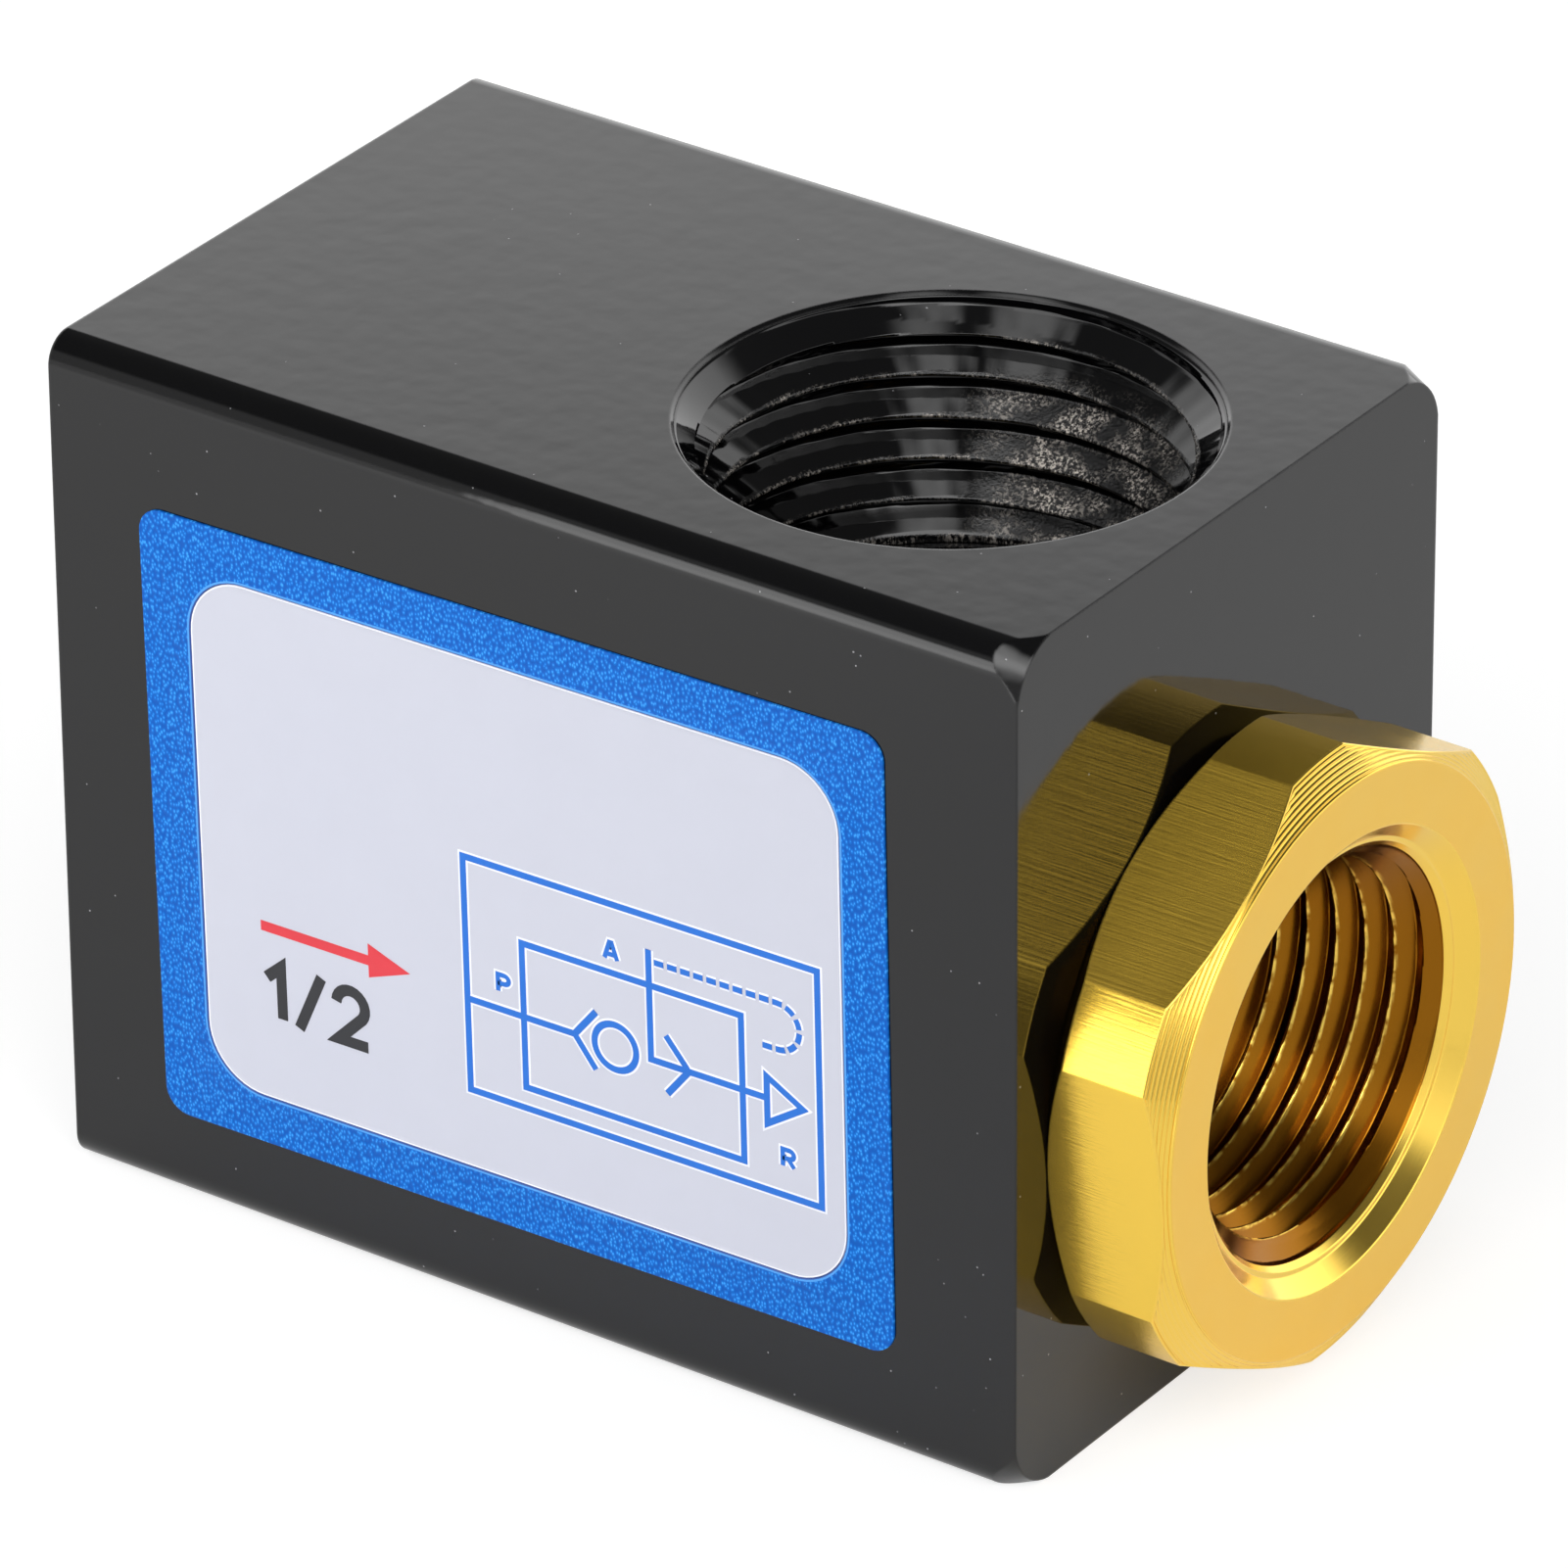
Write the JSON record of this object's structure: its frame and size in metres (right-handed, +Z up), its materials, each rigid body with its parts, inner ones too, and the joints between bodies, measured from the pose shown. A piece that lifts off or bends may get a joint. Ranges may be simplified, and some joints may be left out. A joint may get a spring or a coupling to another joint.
{
  "type": "quick exhaust valve",
  "caption": "Pneumatic quick exhaust valve: black aluminium block with threaded supply and outlet ports, a gold hexagon exhaust cap and a rubber cup that slides inside.",
  "frame": {"origin": "middle of the block's base", "axes": "+X out of the exhaust cap, +Z up out of the outlet port, the label faces -Y"},
  "size_m": [0.0504, 0.0286, 0.0365],
  "materials": {
    "black_body": "gloss black coating on aluminium bar",
    "gold_cap": "turned and gold anodised",
    "seal_rubber": "moulded nitrile rubber",
    "cup_rubber": "moulded polyurethane rubber",
    "label_film": "printed film"
  },
  "bodies": {
    "valve": {"valve_body": "black_body", "exhaust_cap": "gold_cap", "cap_o_ring": "seal_rubber", "label": "label_film"},
    "shuttle": {"valve_cup": "cup_rubber"}
  },
  "joints": [
    {"name": "cup_slide", "type": "slide", "parent": "valve", "child": "shuttle", "axis": [1, 0, 0], "range_m": [0, 0.0032]}
  ]
}
